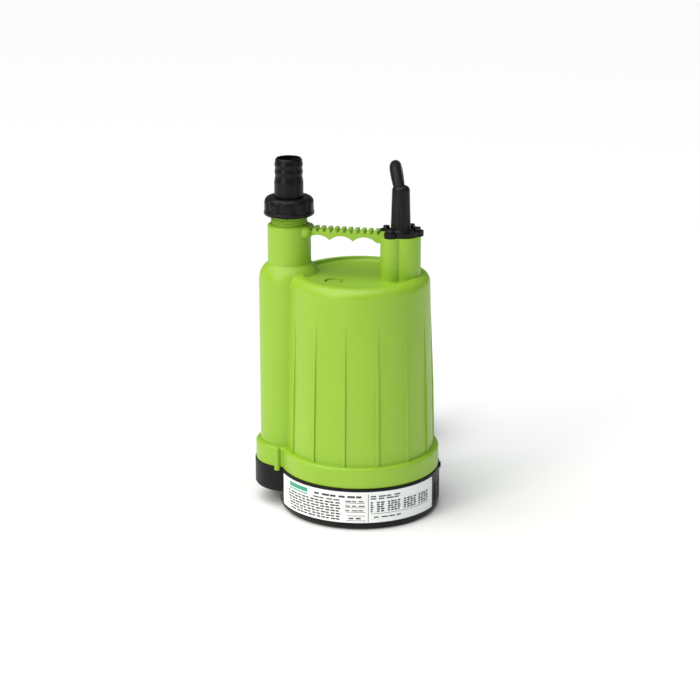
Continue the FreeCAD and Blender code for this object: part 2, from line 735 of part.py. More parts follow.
def motor_leads():
    """Three insulated leads from the cable's end to the bracket."""
    top = CEILING_Z + 5.0
    ends = ((33.0, 0.0), (26.0, 18.0), (12.0, -19.0))
    leads = []
    for i, end in enumerate(ends):
        x0, y0 = polar(2.3, 60.0 + 120.0 * i, CABLE_X, 0.0)
        points = [(x0, y0, top), (x0, y0, SHELL_TOP_Z + 12.0),
                  ((x0 + end[0]) / 2, (y0 + end[1]) / 2, SHELL_TOP_Z + 7.5 + 2.0 * i),
                  (end[0], end[1], SHELL_TOP_Z + 6.0)]
        leads.append(round_tube(points, 1.1))
    return Part.makeCompound(leads)


# ---------------------------------------------------------------- outer casing
def body_form(inset, z_low, z_high):
    """Tapered round body, one inset inside its outer wall, from z_low to z_high."""
    slope = (BODY_R_LOW - BODY_R_TOP) / (BODY_TOP_Z - SHOULDER_R - FLANGE_TOP_Z)
    r_low = BODY_R_LOW - inset - slope * (z_low - FLANGE_TOP_Z)
    knee = z_high - SHOULDER_R
    r_knee = BODY_R_LOW - inset - slope * (knee - FLANGE_TOP_Z)
    return turned([
        (0, z_low),
        (r_low, z_low),
        (r_knee, knee),
        corner(r_knee - SHOULDER_R, knee, SHOULDER_R, 0, 90),
        (0, z_high),
    ])


def flange_form(r, x=0.0):
    """Flange band at the foot of the casing with a rounded top edge."""
    return turned([
        (0, BASE_H),
        (r - 0.6, BASE_H),
        (r, BASE_H + 0.6),
        (r, FLANGE_TOP_Z - FLANGE_ROUND),
        corner(r - FLANGE_ROUND, FLANGE_TOP_Z - FLANGE_ROUND, FLANGE_ROUND, 0, 90),
        (0, FLANGE_TOP_Z),
    ], x)


def casing_tongue():
    """Upright tongue beside the lobe that reaches down into a notch of the base."""
    x, y = polar(LOBE_BASE_R - 1.2, TONGUE_ANGLE, COLUMN_X)
    rod = cyl(TONGUE_R, BASE_H - TONGUE_DROP, FLANGE_TOP_Z - FLANGE_ROUND, x, y)
    return rod.fuse(Part.makeSphere(TONGUE_R, Vector(x, y, FLANGE_TOP_Z - FLANGE_ROUND)))


def column_form():
    """Discharge lobe, its rounded shoulder and the column up to the thread."""
    r_at = lambda z: LOBE_R - LOBE_SHOULDER_R + math.sqrt(LOBE_SHOULDER_R ** 2 - (z - LOBE_SHOULDER_Z) ** 2)
    rise = math.sqrt(LOBE_SHOULDER_R ** 2 - (COLUMN_R - LOBE_R + LOBE_SHOULDER_R) ** 2)
    middle = LOBE_SHOULDER_Z + rise * 0.6
    return turned([
        (0, BASE_H),
        (LOBE_R, BASE_H),
        (LOBE_R, LOBE_SHOULDER_Z),
        ((r_at(middle), middle), (COLUMN_R, LOBE_SHOULDER_Z + rise)),
        (COLUMN_R, COLUMN_TOP_Z - 2.4),
        corner(COLUMN_R - 2.4, COLUMN_TOP_Z - 2.4, 2.4, 0, 90),
        (0, COLUMN_TOP_Z),
    ], COLUMN_X)


def spigot():
    """Threaded spigot above the column, its thread drawn as rings at the thread's pitch."""
    low = COLUMN_TOP_Z
    core_r = SPIGOT_R - THREAD_DEPTH
    outline = [(0, low - 1.0), (core_r, low - 1.0), (core_r, low + 1.2)]
    count = int((SPIGOT_TOP_Z - 1.0 - low - 1.2) / THREAD_PITCH)
    for i in range(count):
        z = low + 1.2 + i * THREAD_PITCH
        outline.append((core_r, z + THREAD_PITCH * 0.15))
        outline.append((SPIGOT_R, z + THREAD_PITCH * 0.48))
        outline.append((SPIGOT_R, z + THREAD_PITCH * 0.62))
        outline.append((core_r, z + THREAD_PITCH * 0.95))
    outline += [(core_r, SPIGOT_TOP_Z), (0, SPIGOT_TOP_Z)]
    return turned(outline, COLUMN_X)


def body_ribs():
    """Upright ribs that fade out towards the top, left off under lobe and tower side."""
    slope = (BODY_R_LOW - BODY_R_TOP) / (BODY_TOP_Z - SHOULDER_R - FLANGE_TOP_Z)
    foot_r = BODY_R_LOW + RIB_PROUD
    top_r = BODY_R_LOW - slope * (RIB_TOP_Z - FLANGE_TOP_Z) - 0.1
    outline = swept_face([
        (BODY_R_TOP - 6.0, FLANGE_TOP_Z - 3.0),
        (foot_r, FLANGE_TOP_Z - 3.0),
        (foot_r - slope * 60.0, FLANGE_TOP_Z + 60.0),
        (top_r, RIB_TOP_Z),
        (BODY_R_TOP - 6.0, RIB_TOP_Z),
    ])
    outline.translate(Vector(0, -RIB_W / 2, 0))
    rib = outline.extrude(Vector(0, RIB_W, 0))
    step = 360.0 / RIBS
    angles = [-90.0 + i * step for i in range(RIBS)]
    return [spin(rib, a) for a in angles if abs((a + 360.0) % 360.0 - 180.0) > 15.0]


def handle():
    """Grip bar with finger waves below, cross teeth on top and a knuckle each side of its root."""
    x0 = COLUMN_X + COLUMN_R - 2.0
    x1 = TOWER_X - TOWER_R + 6.0
    wave = (TOWER_BOSS[0] - TOWER_BOSS_R - 5.0 - x0) / GRIP_WAVES
    tooth_foot = HANDLE_TOP_Z - TOOTH_DEPTH
    outline = [(x0, HANDLE_TOP_Z), (x0, HANDLE_VALLEY_Z)]
    for i in range(GRIP_WAVES):
        left = x0 + i * wave
        middle = (left + wave / 2, HANDLE_VALLEY_Z + HANDLE_ARCH)
        outline.append((middle, (left + wave, HANDLE_VALLEY_Z)))
    outline += [(x1, HANDLE_VALLEY_Z - 1.0), (x1, HANDLE_TOP_Z)]
    start = COLUMN_X + COLUMN_R + 1.2
    end = TOWER_BOSS[0] - TOWER_BOSS_R - 1.7
    tooth = (end - start - TOOTH_GAP) / TEETH
    for i in range(TEETH, -1, -1):
        x = start + i * tooth
        outline += [(x + TOOTH_GAP + 0.5, HANDLE_TOP_Z), (x + TOOTH_GAP, tooth_foot), (x, tooth_foot),
                    (x - 0.5, HANDLE_TOP_Z)]
    bar = swept_face(outline)
    bar.translate(Vector(0, -HANDLE_W / 2, 0))
    bar = bar.extrude(Vector(0, HANDLE_W, 0))
    bar = bar.cut(gland_form())
    side = HANDLE_W / 2 + 0.8
    knuckles = [Part.makeSphere(KNUCKLE_R, Vector(x0 - 1.4, y, HANDLE_TOP_Z - 4.0)) for y in (-side, side)]
    return fuse([bar] + knuckles)


def tower_form():
    """Cable tower with its front screw boss."""
    low = TOP_FACE_Z - CASING_WALL
    rounded = lambda r, x, y: cyl(r, low, TOWER_TOP_Z, x, y)
    mirror_boss = (2 * TOWER_X - TOWER_BOSS[0] - 7.0, -TOWER_BOSS[1])
    return [rounded(TOWER_R, TOWER_X, 0.0),
            rounded(TOWER_BOSS_R, TOWER_BOSS[0], TOWER_BOSS[1]),
            rounded(TOWER_BOSS_R, mirror_boss[0], mirror_boss[1]),
            rounded(GLAND_EAR_R, GLAND_EARS[0][0], GLAND_EARS[0][1])]


def casing_hollows():
    """Everything that is cut from the casing: motor space, bores, pocket and recesses."""
    pipe_keep = cyl(COLUMN_PIPE_R, BASE_H - 1.0, CEILING_Z + 1.0, COLUMN_X)
    motor_space = body_form(CASING_WALL, SHELF_Z + CASING_WALL, CEILING_Z).cut(pipe_keep)
    insert_bore = cyl(HOUSING_R + 0.3, BASE_H, SHELF_Z)
    shelf_bore = cyl(SHELL_R + 0.3, SHELF_Z, SHELF_Z + CASING_WALL)
    lobe_space = cyl(LOBE_R - CASING_WALL, SHELF_Z + CASING_WALL, LOBE_SHOULDER_Z, COLUMN_X).cut(pipe_keep)
    return [motor_space, insert_bore, shelf_bore, lobe_space,
            cyl(PIPE_R, BASE_H, SPIGOT_TOP_Z, COLUMN_X)]


def flange_pocket():
    """Hollow underside of the flange, with posts left for the base screws."""
    pocket = ring(FLANGE_R - CASING_WALL, HOUSING_R + CASING_WALL, BASE_H, FLANGE_TOP_Z - CASING_WALL)
    keep = [cyl(EAR_R, BASE_H, FLANGE_TOP_Z, x, y) for x, y in base_screw_places()]
    keep.append(cyl(COLUMN_PIPE_R, BASE_H, FLANGE_TOP_Z, COLUMN_X))
    return pocket.cut(keep)


def tower_hollows():
    """Cable bore, grommet pocket and gland screw holes in the tower."""
    tools = [cyl(CABLE_R + 2.5, CEILING_Z - 1.0, TOWER_TOP_Z, CABLE_X),
             cyl(GROMMET_R, TOWER_TOP_Z - GROMMET_H, TOWER_TOP_Z, CABLE_X)]
    for x, y in GLAND_EARS:
        tools.append(cyl(SCREW_R, TOWER_TOP_Z - 8.0, TOWER_TOP_Z, x, y))
    return tools


def plug_hollows():
    """Recess and threaded hole of the air test plug."""
    x, y = PLUG_POS
    return [cyl(PLUG_RECESS_R, TOP_FACE_Z - PLUG_RECESS, TOP_FACE_Z, x, y),
            cyl(PLUG_R - 2.0, CEILING_Z - 5.0, TOP_FACE_Z, x, y)]


def outer_casing():
    """Green moulding: flange, ribbed body, discharge column, tower and handle in one."""
    body = body_form(0.0, FLANGE_TOP_Z - 1.0, BODY_TOP_Z)
    recess_r = BODY_R_TOP - SHOULDER_R - RIM_W
    recess = turned([
        (0, TOP_FACE_Z),
        (recess_r - 2.0, TOP_FACE_Z),
        ((recess_r - 0.6, TOP_FACE_Z + 0.8), (recess_r, BODY_TOP_Z)),
        (0, BODY_TOP_Z),
    ])
    body = body.cut(recess)
    solids = [body, flange_form(FLANGE_R), flange_form(LOBE_BASE_R - 1.0, COLUMN_X),
              casing_tongue(), column_form(), spigot(), handle()]
    solids += body_ribs() + tower_form()
    plug_boss = cyl(PLUG_RECESS_R + 2.0, CEILING_Z - 3.0, TOP_FACE_Z, *PLUG_POS)
    casing = fuse(solids)
    casing = casing.cut(casing_hollows()).cut(flange_pocket())
    casing = casing.fuse(plug_boss).cut(tower_hollows() + plug_hollows())
    holes = [cyl(SCREW_R, BASE_H, BASE_H + FLANGE_H * 0.7, x, y) for x, y in base_screw_places()]
    return casing.cut(holes)


def test_plug():
    """Slotted plug that closes the air test hole."""
    x, y = PLUG_POS
    head_z = TOP_FACE_Z - PLUG_RECESS + PLUG_HEAD_H
    head = cyl(PLUG_R, TOP_FACE_Z - PLUG_RECESS, head_z, x, y)
    shank = cyl(PLUG_R - 2.0, CEILING_Z - 3.0, TOP_FACE_Z - PLUG_RECESS, x, y)
    slot = block(x - PLUG_R, x + PLUG_R, y - 0.8, y + 0.8, head_z - 1.2, head_z)
    return head.fuse(shank).cut(slot)


# ---------------------------------------------------------------- hose union
def union_nut():
    """Hand nut with a rim below, scallops above it and a lip that pulls the hose tail down."""
    z0, z1 = NUT_Z
    rim_top = z0 + NUT_RIM_H
    side_r = NUT_R - 0.4
    body = turned([
        (0, z0),
        (NUT_R - 1.2, z0),
        corner(NUT_R - 1.2, z0 + 1.2, 1.2, -90, 0),
        (NUT_R, rim_top),
        (side_r, rim_top + 0.6),
        (side_r, z1 - 5.5),
        corner(side_r - 5.5, z1 - 5.5, 5.5, 0, 90),
        (0, z1),
    ], COLUMN_X)
    bites = []
    for i in range(NUT_SCALLOPS):
        angle = NUT_SCALLOP_START + i * 360.0 / NUT_SCALLOPS
        x, y = polar(side_r + NUT_SCALLOP_R - NUT_SCALLOP_DEPTH, angle, COLUMN_X)
        bites.append(cyl(NUT_SCALLOP_R, rim_top + 1.0, z1 + 1.0, x, y))
    bore = cyl(NUT_BORE_R, z0, z1 - NUT_LIP, COLUMN_X)
    mouth = cyl(TAIL_LAND_R + TAIL_CLEAR, z0, z1, COLUMN_X)
    return body.cut(bites + [bore, mouth])


def hose_gasket():
    """Flat rubber washer between spigot and hose tail."""
    return ring(SPIGOT_R - THREAD_DEPTH, TAIL_BORE_R + 1.0, SPIGOT_TOP_Z, TAIL_FLANGE_Z, COLUMN_X)


def hose_tail():
    """Barbed hose tail with the flange that the union nut holds."""
    barb_r = TAIL_LAND_R - 0.3
    root_r = barb_r - TAIL_BARB_DEPTH
    first_root_z = TAIL_TOP_Z - TAIL_TIP_H - TAIL_BARB_PITCH * (TAIL_BARBS - 0.5)
    outline = [
        (TAIL_BORE_R, TAIL_FLANGE_Z),
        (SPIGOT_R, TAIL_FLANGE_Z),
        (SPIGOT_R, TAIL_FLANGE_TOP_Z),
        (TAIL_LAND_R - 0.3, TAIL_FLANGE_TOP_Z),
        (TAIL_LAND_R - 0.3, NUT_Z[1] + 0.4),
        (TAIL_LAND_R, NUT_Z[1] + 0.4),
        (TAIL_LAND_R, first_root_z - TAIL_BARB_PITCH * 0.85),
    ]
    for i in range(TAIL_BARBS):
        root_z = first_root_z + i * TAIL_BARB_PITCH
        outline += [(root_r, root_z), (barb_r, root_z + TAIL_BARB_PITCH / 2)]
    outline += [(barb_r - 0.8, TAIL_TOP_Z - 1.4), (barb_r - 1.8, TAIL_TOP_Z), (TAIL_BORE_R, TAIL_TOP_Z)]
    return turned(outline, COLUMN_X)


# ---------------------------------------------------------------- cable entry
def gland_form():
    """Outer form of the gland plate: a disc with four ears."""
    shapes = [cyl(GLAND_R, TOWER_TOP_Z, GLAND_TOP_Z, TOWER_X - 1.0)]
    for x, y in GLAND_EARS:
        shapes.append(cyl(GLAND_EAR_R, TOWER_TOP_Z, GLAND_TOP_Z, x, y))
        shapes.append(cyl(GLAND_EAR_R, TOWER_TOP_Z, GLAND_TOP_Z, (x + TOWER_X) / 2, y / 2))
    return fuse(shapes)


def gland_plate():
    """Black plate on the tower that presses the grommet down."""
    holes = [cyl(SCREW_R, TOWER_TOP_Z, GLAND_TOP_Z, x, y) for x, y in GLAND_EARS]
    return gland_form().cut(holes + [cyl(CABLE_R, TOWER_TOP_Z, GLAND_TOP_Z, CABLE_X)])


def gland_screws():
    """Pan-head screws of the gland plate."""
    length = GLAND_T + 8.0
    return Part.makeCompound([pan_screw(x, y, GLAND_TOP_Z, length, False, GLAND_SCREW_HEAD_R)
                              for x, y in GLAND_EARS])


def cable_grommet():
    """Rubber bush that seals the cable in the tower."""
    return ring(GROMMET_R, CABLE_R, TOWER_TOP_Z - GROMMET_H, TOWER_TOP_Z, CABLE_X)


def cable_lead_in():
    """Straight end of the cable inside tower, grommet and boot."""
    return cyl(CABLE_R, CEILING_Z + 5.0, BOOT_TOP_Z - 9.0, CABLE_X)


def cable_boot():
    """Tapered rubber boot with grip grooves, closed round the cable at its top."""
    low, high = GLAND_TOP_Z, BOOT_TOP_Z
    r0, r1 = BOOT_R
    body = turned([
        (0, low),
        (r0 + 1.3, low),
        ((r0 + 0.35, low + 1.2), (r0, low + 3.6)),
        (r1, high - 4.4),
        corner(r1 - 4.4, high - 4.4, 4.4, 0, 90),
        (0, high),
    ], CABLE_X)
    grooves = []
    for i in range(BOOT_GROOVES):
        x, y = polar(r0 + 0.7, BOOT_GROOVE_START + i * 360.0 / BOOT_GROOVES, CABLE_X)
        grooves.append(cyl(1.5, low + 5.0, high - 5.0, x, y))
    return body.cut(grooves + [cable_lead_in(), cable_tube()])


# ---------------------------------------------------------------- power cable
def round_path(points):
    """Wire of straight runs joined by tangent arcs, with the radii of the arcs.

    The radius of each arc is 0.45 of the shorter run over the tangent of half the turn.
    """
    vectors = [Vector(*p) for p in points]
    edges, radii = [], []
    last = vectors[0]
    for before, at, after in zip(vectors, vectors[1:], vectors[2:]):
        run_in = at - before
        run_out = after - at
        turn = run_in.getAngle(run_out)
        back = 0.45 * min(run_in.Length, run_out.Length)
        radius = back / math.tan(turn / 2)
        u = Vector(run_in).normalize()
        v = Vector(run_out).normalize()
        start = at - u * back
        end = at + v * back
        inward = Vector(v - u).normalize()
        middle = at + inward * (radius / math.cos(turn / 2) - radius)
        edges.append(Part.LineSegment(last, start).toShape())
        edges.append(Part.Arc(start, middle, end).toShape())
        radii.append(radius)
        last = end
    edges.append(Part.LineSegment(last, vectors[-1]).toShape())
    return Part.Wire(edges), radii


def round_tube(points, r):
    """Round tube along a path of runs and arcs."""
    path, _ = round_path(points)
    along = Vector(*points[1]) - Vector(*points[0])
    circle = Part.Wire(Part.makeCircle(r, Vector(*points[0]), along))
    return path.makePipeShell([circle], True, True)


def cable_tube():
    """Free cable from the boot, over its crest and down to the coil."""
    return round_tube((CABLE_START,) + CABLE_ROUTE, CABLE_R)


def tail_tube():
    """Cable from the top of the coil to the plug."""
    return round_tube(TAIL_ROUTE, CABLE_R)


def coil_outline(grow):
    """Half section of the coil, grown outwards by a thickness."""
    half = COIL_WIDTH / 2 + grow
    low = COIL_BOTTOM_Z - grow
    side_top = COIL_FLAT_Z - 2.0
    crown = COIL_FLAT_Z + 2 * CABLE_R - 0.5 + grow
    r = 4.0
    return swept_face([
        (COIL_MEAN_R - half + r, low),
        (COIL_MEAN_R + half - r, low),
        corner(COIL_MEAN_R + half - r, low + r, r, -90, 0),
        (COIL_MEAN_R + half, side_top),
        (COIL_MEAN_R + CABLE_R * 2, crown),
        (COIL_MEAN_R - CABLE_R * 2, crown),
        (COIL_MEAN_R - half, side_top),
        (COIL_MEAN_R - half, low + r),
        corner(COIL_MEAN_R - half + r, low + r, r, 180, 270),
    ], COIL_X, COIL_Y)


def coil_ring():
    """Outer shape of the wound coil."""
    return coil_outline(0.0).revolve(Vector(COIL_X, COIL_Y, 0), UP, 360)


def cable_coil():
    """Coil, with room for the runs that enter and leave it."""
    return coil_ring().cut([cable_tube(), tail_tube()])


def coil_tie():
    """Hook-and-loop strap round the coil."""
    face = coil_outline(TIE_T)
    face.rotate(Vector(COIL_X, COIL_Y, 0), UP, TIE_ANGLE)
    strap = face.revolve(Vector(COIL_X, COIL_Y, 0), UP, TIE_SPREAD)
    return strap.cut(coil_ring())


def plug_frame(shape):
    """Lay a shape built along +Z so that it continues the cable's last run."""
    last = Vector(*TAIL_ROUTE[-1])
    along = last - Vector(*TAIL_ROUTE[-2])
    turn = FreeCAD.Rotation(UP, along)
    shape.Placement = FreeCAD.Placement(last, turn)
    return shape


def mains_plug():
    """Moulded plug with its sleeve, past the cable's end."""
    body = turned([(0, 0)] + list(PLUG_BODY) + [(0, PLUG_BODY[-1][1])])
    return plug_frame(body)


def plug_pins():
    """Two round contact pins."""
    base = PLUG_BODY[-1][1]
    pins = []
    for side in (-1, 1):
        x = side * PIN_SPACING / 2
        pin = Part.makeCylinder(PIN_R, PIN_L - PIN_R, Vector(x, 0, base))
        tip = Part.makeSphere(PIN_R, Vector(x, 0, base + PIN_L - PIN_R))
        pins.append(pin.fuse(tip).removeSplitter())
    return plug_frame(Part.makeCompound(pins))


def print_cable_facts():
    """Arc radii of the cable's runs and the volume of each tube against its length."""
    for name, points in (("power_cable", (CABLE_START,) + CABLE_ROUTE), ("cable_tail", TAIL_ROUTE)):
        path, radii = round_path(points)
        tube = round_tube(points, CABLE_R)
        expected = math.pi * CABLE_R ** 2 * path.Length
        print(name, "length", round(path.Length, 1), "radii", [round(r, 1) for r in radii],
              "volume ratio", round(tube.Volume / expected, 4))


# ---------------------------------------------------------------- write the parts
NODES = {
    "strainer_base": strainer_base,
    "base_screws": base_screws,
    "rating_label": rating_label,
    "suction_cover": suction_cover,
    "cover_screws": cover_screws,
    "volute_casing": volute_casing,
    "impeller": impeller,
    "impeller_nut": impeller_nut,
    "motor_shaft": shaft,
    "oil_casing": oil_casing,
    "seal_seat": seal_seat,
    "seal_ring": seal_ring,
    "seal_spring": seal_spring,
    "seal_collar": seal_collar,
    "oil_seal": oil_seal,
    "bearing_housing": bearing_housing,
    "casing_o_ring": casing_o_ring,
    "lower_bearing_outer_race": lambda: bearing_race(LOWER_BEARING_Z, True),
    "lower_bearing_inner_race": lambda: bearing_race(LOWER_BEARING_Z, False),
    "lower_bearing_balls": lambda: ball_cage(LOWER_BEARING_Z),
    "upper_bearing_outer_race": lambda: bearing_race(UPPER_BEARING_Z, True),
    "upper_bearing_inner_race": lambda: bearing_race(UPPER_BEARING_Z, False),
    "upper_bearing_balls": lambda: ball_cage(UPPER_BEARING_Z),
    "motor_shell": motor_shell,
    "stator_core": stator_core,
    "stator_windings": stator_windings,
    "rotor_core": rotor_core,
    "rotor_end_rings": rotor_end_rings,
    "upper_bracket": upper_bracket,
    "run_capacitor": run_capacitor,
    "thermal_protector": thermal_protector,
    "motor_leads": motor_leads,
    "outer_casing": outer_casing,
    "test_plug": test_plug,
    "union_nut": union_nut,
    "hose_gasket": hose_gasket,
    "hose_tail": hose_tail,
    "gland_plate": gland_plate,
    "gland_screws": gland_screws,
    "cable_grommet": cable_grommet,
    "cable_lead_in": cable_lead_in,
    "cable_boot": cable_boot,
    "power_cable": cable_tube,
    "cable_coil": cable_coil,
    "cable_tail": tail_tube,
    "coil_tie": coil_tie,
    "mains_plug": mains_plug,
    "plug_pins": plug_pins,
}


def main():
    """Build every node and write it."""
    os.makedirs("parts", exist_ok=True)
    for name, build in NODES.items():
        shape = build()
        save(name, shape)
        print(name, "valid", shape.isValid(), "solids", len(shape.Solids), "volume", round(shape.Volume, 1))
    print_cable_facts()


main()
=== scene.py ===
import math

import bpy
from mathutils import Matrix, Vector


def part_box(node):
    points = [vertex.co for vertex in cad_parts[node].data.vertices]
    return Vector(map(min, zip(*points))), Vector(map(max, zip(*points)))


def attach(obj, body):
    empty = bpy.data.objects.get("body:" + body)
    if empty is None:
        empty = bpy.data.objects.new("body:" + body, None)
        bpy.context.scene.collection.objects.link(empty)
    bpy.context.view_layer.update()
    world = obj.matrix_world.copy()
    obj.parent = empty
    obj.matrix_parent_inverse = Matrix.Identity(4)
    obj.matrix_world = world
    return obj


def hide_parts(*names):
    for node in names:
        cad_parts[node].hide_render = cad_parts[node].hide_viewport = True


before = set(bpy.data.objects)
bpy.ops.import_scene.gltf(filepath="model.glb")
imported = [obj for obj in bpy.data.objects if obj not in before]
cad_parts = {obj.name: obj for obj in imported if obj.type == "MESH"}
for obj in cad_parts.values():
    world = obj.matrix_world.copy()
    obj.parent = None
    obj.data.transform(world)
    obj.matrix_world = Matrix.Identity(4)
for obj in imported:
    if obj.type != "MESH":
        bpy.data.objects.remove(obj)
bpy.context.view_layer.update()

# %% [markdown]
# # A small submersible drain pump
#
# The frame above holds every working piece at its real place: casing, base, nut, motor and so on.
# This lesson gives those pieces their finish, and models two things that need a softer or finer form
# than a working drawing has: the cable and the printed label. Everything is in metres, with the
# motor axis along Z and the floor at Z = 0.

MM = 0.001

# %% [markdown]
# ## Where the camera stands
#
# A product is usually shown through a long lens from a little above, so upright edges stay
# nearly parallel. A 106 mm lens almost 1.9 m away does the same here. The camera is aimed by giving
# it the direction to a point in the middle of the pump, which is easier to read than three angles.
# The Standard view transform keeps a plastic's colour as saturated as its hex value says.

# %% Camera
CAMERA_AZIMUTH = math.radians(12.5)
CAMERA_ELEVATION = math.radians(17.53)
CAMERA_DISTANCE = 1.9
CAMERA_AIM = Vector((-0.00917, 0.0, 0.14742))
LENS_MM = 106.4

direction = Vector((
    math.sin(CAMERA_AZIMUTH) * math.cos(CAMERA_ELEVATION),
    -math.cos(CAMERA_AZIMUTH) * math.cos(CAMERA_ELEVATION),
    math.sin(CAMERA_ELEVATION),
))
camera_data = bpy.data.cameras.new("camera")
camera_data.lens = LENS_MM
camera = bpy.data.objects.new("camera", camera_data)
camera.location = CAMERA_AIM + direction * CAMERA_DISTANCE
camera.rotation_euler = direction.to_track_quat("Z", "Y").to_euler()
bpy.context.collection.objects.link(camera)
bpy.context.scene.camera = camera
bpy.context.scene.view_settings.view_transform = "Standard"
print("camera at", [round(v, 3) for v in camera.location])

# %% [markdown]
# ## Colour and node helpers
#
# Colours are written as the hex values a paint program shows, and one function turns them into the
# linear light values that shaders work with. A second small function adds one shader node, with its
# settings as names and its sockets as a dictionary, so every finish below reads like a recipe.

# %% Helpers for materials
BEVEL_SAMPLES = 6


def colour(hex_text):
    """Linear RGBA from an sRGB hex colour."""
    values = [int(hex_text[i:i + 2], 16) / 255 for i in (1, 3, 5)]
    linear = [v / 12.92 if v <= 0.04045 else ((v + 0.055) / 1.055) ** 2.4 for v in values]
    return (*linear, 1.0)


def add_node(material, kind, sockets=None, **settings):
    """Add a node, set its settings, and fill or link its input sockets."""
    node = material.node_tree.nodes.new(kind)
    for name, value in settings.items():
        setattr(node, name, value)
    for name, value in (sockets or {}).items():
        if isinstance(value, bpy.types.NodeSocket):
            material.node_tree.links.new(value, node.inputs[name])
        else:
            node.inputs[name].default_value = value
    return node


def new_material(name):
    """Material with a Principled shader; returns the material and the shader."""
    material = bpy.data.materials.new(name)
    material.use_nodes = True
    return material, material.node_tree.nodes["Principled BSDF"]


def ramp(material, factor, stops):
    """Colour ramp from a factor socket; stops are (position, colour)."""
    node = add_node(material, "ShaderNodeValToRGB", {"Fac": factor})
    elements = node.color_ramp.elements
    while len(elements) < len(stops):
        elements.new(0.5)
    for element, (position, value) in zip(elements, stops):
        element.position = position
        element.color = value
    return node.outputs["Color"]


def grey(value):
    """Grey as a colour, for a ramp that drives roughness."""
    return (value, value, value, 1.0)


def object_noise(material, size_mm, detail=2.0, stretch=(1, 1, 1)):
    """Noise on Object coordinates whose cells are about size_mm across."""
    where = add_node(material, "ShaderNodeTexCoord").outputs["Object"]
    placed = add_node(material, "ShaderNodeMapping", {"Vector": where, "Scale": stretch})
    return add_node(material, "ShaderNodeTexNoise", {
        "Vector": placed.outputs["Vector"], "Scale": 1.0 / (size_mm * MM), "Detail": detail,
    }).outputs["Fac"]


def add_bump(material, shader, height, depth_mm, strength=1.0, radius_mm=0.0):
    """Bump of a real depth, over edges that the shader rounds by a small radius."""
    sockets = {"Height": height, "Distance": depth_mm * MM, "Strength": strength}
    if radius_mm:
        rounded = add_node(material, "ShaderNodeBevel", {"Radius": radius_mm * MM}, samples=BEVEL_SAMPLES)
        sockets["Normal"] = rounded.outputs["Normal"]
    bump = add_node(material, "ShaderNodeBump", sockets)
    material.node_tree.links.new(bump.outputs["Normal"], shader.inputs["Normal"])


# %% [markdown]
# ## The green casing's plastic
#
# The casing is injection-moulded polypropylene, coloured through. It has a fine spark-eroded grain
# that blurs its highlights, very slight clouding where the melt flowed, and it lets a little light
# in, which lifts the shaded side. IOR 1.49 and a roughness near 0.4 are usual for it. Subsurface
# light is kept small: it softens the shade without making the part look like wax.

# %% Moulded polypropylene, lime green
green_plastic, shader = new_material("moulded_polypropylene_green")
clouds = object_noise(green_plastic, 60.0, detail=3.0, stretch=(1, 1, 0.4))
green = ramp(green_plastic, clouds, [(0.35, colour("#8FBA2A")), (0.65, colour("#96BF33"))])
green_plastic.node_tree.links.new(green, shader.inputs["Base Color"])
grain = object_noise(green_plastic, 0.7, detail=3.0)
gloss = ramp(green_plastic, object_noise(green_plastic, 14.0), [(0.3, grey(0.36)), (0.7, grey(0.44))])
green_plastic.node_tree.links.new(gloss, shader.inputs["Roughness"])
add_bump(green_plastic, shader, grain, 0.02, radius_mm=1.0)
shader.inputs["IOR"].default_value = 1.49
shader.inputs["Subsurface Weight"].default_value = 0.06
shader.inputs["Subsurface Radius"].default_value = (0.003, 0.004, 0.001)
shader.inputs["Subsurface Scale"].default_value = 1.0

# %% [markdown]
# ## Black plastics and rubber
#
# Four blacks that differ in gloss, as they do in the hand: the base is matt polypropylene with the
# same grain as the casing, the nut and hose tail are glass-filled nylon with a tighter sheen, the
# boot is soft rubber, and the cable's jacket is chlorinated rubber with a trace of talc.

# %% Black finishes


def black_finish(name, dark, light, rough, cell_mm, grain_mm, depth_mm, radius_mm, ior=1.5):
    """Black moulded finish: slight clouding in colour and gloss, and a fine grain.

    The grain traps part of the surface reflection, so the specular level is below a polished one's.
    """
    material, shader = new_material(name)
    clouds = object_noise(material, cell_mm, detail=3.0)
    tint = ramp(material, clouds, [(0.3, colour(dark)), (0.7, colour(light))])
    sheen = ramp(material, clouds, [(0.3, grey(rough - 0.05)), (0.7, grey(rough + 0.05))])
    material.node_tree.links.new(tint, shader.inputs["Base Color"])
    material.node_tree.links.new(sheen, shader.inputs["Roughness"])
    shader.inputs["IOR"].default_value = ior
    shader.inputs["Specular IOR Level"].default_value = 0.2
    add_bump(material, shader, object_noise(material, grain_mm, detail=3.0), depth_mm, 1.0, radius_mm)
    return material


black_base = black_finish("moulded_polypropylene_black", "#0C0C0D", "#111112", 0.45, 30, 0.7, 0.02, 0.5)
black_nylon = black_finish("glass_filled_nylon_black", "#0A0A0B", "#0E0E0F", 0.36, 12, 0.5, 0.012, 0.4)
soft_rubber = black_finish("moulded_rubber_black", "#111112", "#171718", 0.42, 9, 0.4, 0.012, 0.3, 1.52)
jacket_rubber = black_finish("rubber_cable_jacket", "#101011", "#19191A", 0.46, 14, 0.6, 0.02, 0.0, 1.52)

# %% [markdown]
# ## Metals and the pieces inside
#
# The inner pieces only show when the pump is taken apart, but each has its own stuff: turned and
# ground steel, cast aluminium, varnished lamination steel, enamelled copper, ceramic and carbon.
# A metal keeps the default IOR; its look comes from colour, roughness and fine tool marks.

# %% Metals and inner finishes


